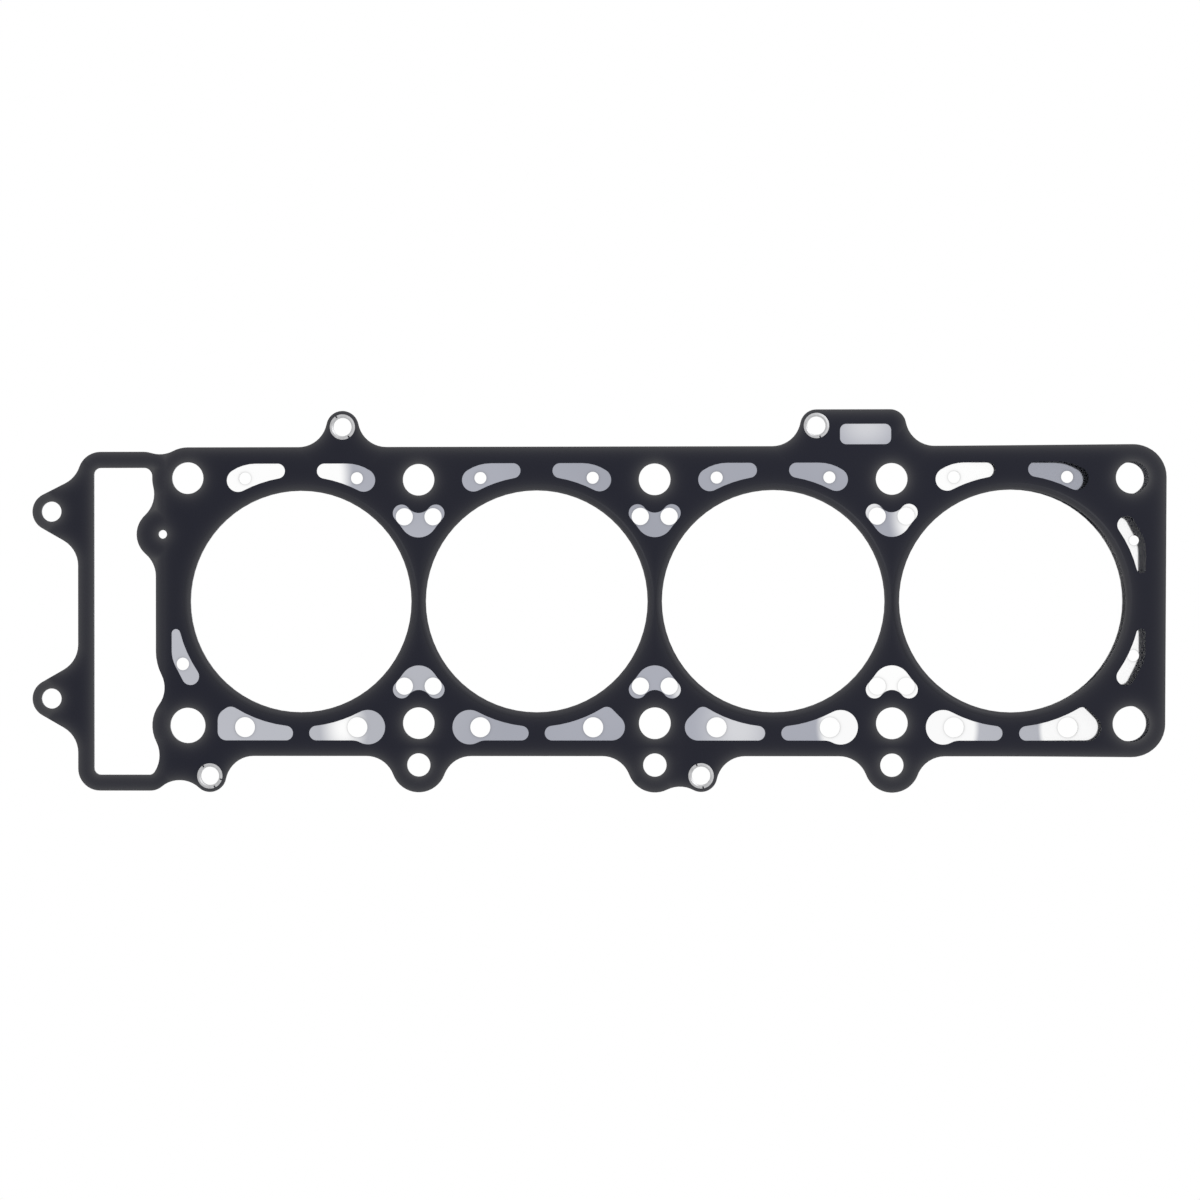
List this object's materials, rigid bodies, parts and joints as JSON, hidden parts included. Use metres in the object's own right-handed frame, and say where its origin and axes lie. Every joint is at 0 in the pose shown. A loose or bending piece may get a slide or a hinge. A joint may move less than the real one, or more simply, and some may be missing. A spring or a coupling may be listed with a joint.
{
  "type": "cylinder head gasket",
  "caption": "Multi-layer steel cylinder head gasket for an inline engine, with coated embossed outer sheets, a bare steel spacer, coolant windows and a chain tunnel frame.",
  "frame": {"origin": "middle of the cylinder row, at the height of the lowest beads", "axes": "+X along the cylinder row away from the chain tunnel, +Y across the row away from the three lugs, +Z towards the cylinder head"},
  "size_m": [0.3917, 0.1327, 0.0062],
  "materials": {
    "coating": "matt rubber coating",
    "spacer_steel": "cold rolled",
    "eyelet_steel": "plated, rolled over"
  },
  "bodies": {
    "root": {"top_layer": "coating", "spacer_plate": "spacer_steel", "bottom_layer": "coating", "eyelet_top_left": "eyelet_steel", "eyelet_top_right": "eyelet_steel", "eyelet_bottom_left": "eyelet_steel", "eyelet_bottom_right": "eyelet_steel"}
  },
  "joints": []
}
